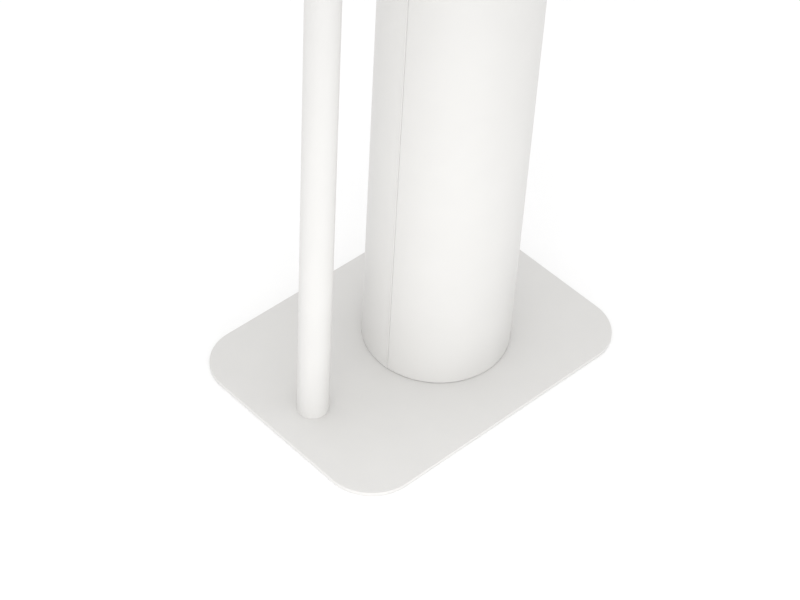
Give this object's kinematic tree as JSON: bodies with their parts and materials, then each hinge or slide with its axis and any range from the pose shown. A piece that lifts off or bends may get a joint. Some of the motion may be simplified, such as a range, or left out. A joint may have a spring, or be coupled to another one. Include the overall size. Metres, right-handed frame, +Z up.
{
  "type": "security gate",
  "caption": "Motorised swing-arm exit gate: round column with turning sleeve and glazed arm, beside a slim post carrying a tilting receipt scanner, on one floor plate.",
  "frame": {"origin": "the column's axis at floor level, the centre of the floor anchors", "axes": "+Z up; +X along the plate from the post to the column, the way a customer walks; +Y along the closed arm"},
  "size_m": [0.4151, 0.865, 1.1066],
  "materials": {
    "white_powder_coat": "fine-textured matt powder coat, warm white",
    "white_moulding": "matt moulded plastic in the coat's white",
    "zinc_plated_steel": "zinc-plated steel",
    "cast_aluminium": "machined aluminium",
    "bearing_steel": "ground bearing steel",
    "gear_brass": "cut brass",
    "black_rubber": "black rubber",
    "black_plastic": "black plastic",
    "green_board": "green solder mask",
    "vented_steel": "grey vented steel case",
    "nickel_plate": "satin nickel plate",
    "opal_plastic": "opal diffuser",
    "clear_acrylic": "clear polished acrylic",
    "red_film": "red sign film",
    "dark_moulding": "dark grey moulded plastic",
    "red_filter": "dark red scanner filter",
    "green_lens": "green status lens"
  },
  "bodies": {
    "stand": {"base_plate": "white_powder_coat", "foot_screws": "zinc_plated_steel", "groove_cover": "black_plastic", "cable_grommet": "black_rubber", "mast": "zinc_plated_steel", "foot_ring": "zinc_plated_steel", "lower_bulkhead": "zinc_plated_steel", "fixed_shell": "white_powder_coat", "service_cover": "white_powder_coat", "shell_screws": "zinc_plated_steel", "cover_studs": "zinc_plated_steel", "cover_clips": "black_plastic", "panel_brackets": "zinc_plated_steel", "electronics_panel": "zinc_plated_steel", "power_supply": "vented_steel", "control_board": "green_board", "drive_plate": "cast_aluminium", "gearbox": "cast_aluminium", "motor": "black_plastic", "motor_brake": "black_plastic", "motor_screws": "zinc_plated_steel", "bump_stops": "black_rubber", "bearing_collars": "zinc_plated_steel", "bearing_inner_rings": "bearing_steel", "bearing_balls": "bearing_steel", "cap_carrier": "zinc_plated_steel", "light_board": "green_board", "light_ring": "opal_plastic", "top_cap": "white_powder_coat", "cap_screws": "zinc_plated_steel", "key_switch_body": "nickel_plate", "motor_lead": "black_plastic", "light_lead": "black_plastic", "scanner_lead": "black_plastic", "scanner_post": "white_powder_coat", "post_plug": "zinc_plated_steel", "post_screw": "zinc_plated_steel", "tilt_yoke": "cast_aluminium", "tilt_bolt": "zinc_plated_steel"},
    "arm": {"bearing_outer_rings": "bearing_steel", "lower_hub": "cast_aluminium", "main_gear": "gear_brass", "gear_screws": "zinc_plated_steel", "upper_hub": "cast_aluminium", "turning_sleeve": "white_powder_coat", "sleeve_screws": "zinc_plated_steel", "arm_bracket": "zinc_plated_steel", "arm_loop": "white_powder_coat", "arm_rosettes": "white_powder_coat", "clear_panel": "clear_acrylic", "panel_clips": "nickel_plate", "panel_sign": "red_film"},
    "pinion": {"motor_shaft": "bearing_steel", "drive_pinion": "gear_brass"},
    "scanner": {"scanner_rear_shell": "white_moulding", "scanner_front": "dark_moulding", "scan_window": "red_filter", "scanner_lamp": "green_lens", "scan_engine": "green_board"},
    "key": {"key_cylinder": "nickel_plate"}
  },
  "joints": [
    {"name": "arm_swing", "type": "hinge", "parent": "stand", "child": "arm", "pos_m": [0, 0, 0.842], "axis": [0, 0, -1], "range_deg": [0, 90]},
    {"name": "pinion_spin", "type": "hinge", "parent": "stand", "child": "pinion", "pos_m": [0, -0.05625, 0.69], "axis": [0, 0, -1], "range_deg": [-361, 1]},
    {"name": "scanner_tilt", "type": "hinge", "parent": "stand", "child": "scanner", "pos_m": [-0.1825, 0, 1.039], "axis": [0, 1, 0], "range_deg": [-20, 20]},
    {"name": "key_turn", "type": "hinge", "parent": "stand", "child": "key", "pos_m": [-0.045, 0, 1.01], "axis": [0, 0, 1], "range_deg": [0, 90]}
  ],
  "couplings": [
    {"joint": "pinion_spin", "follows": "arm_swing", "ratio": -4}
  ]
}
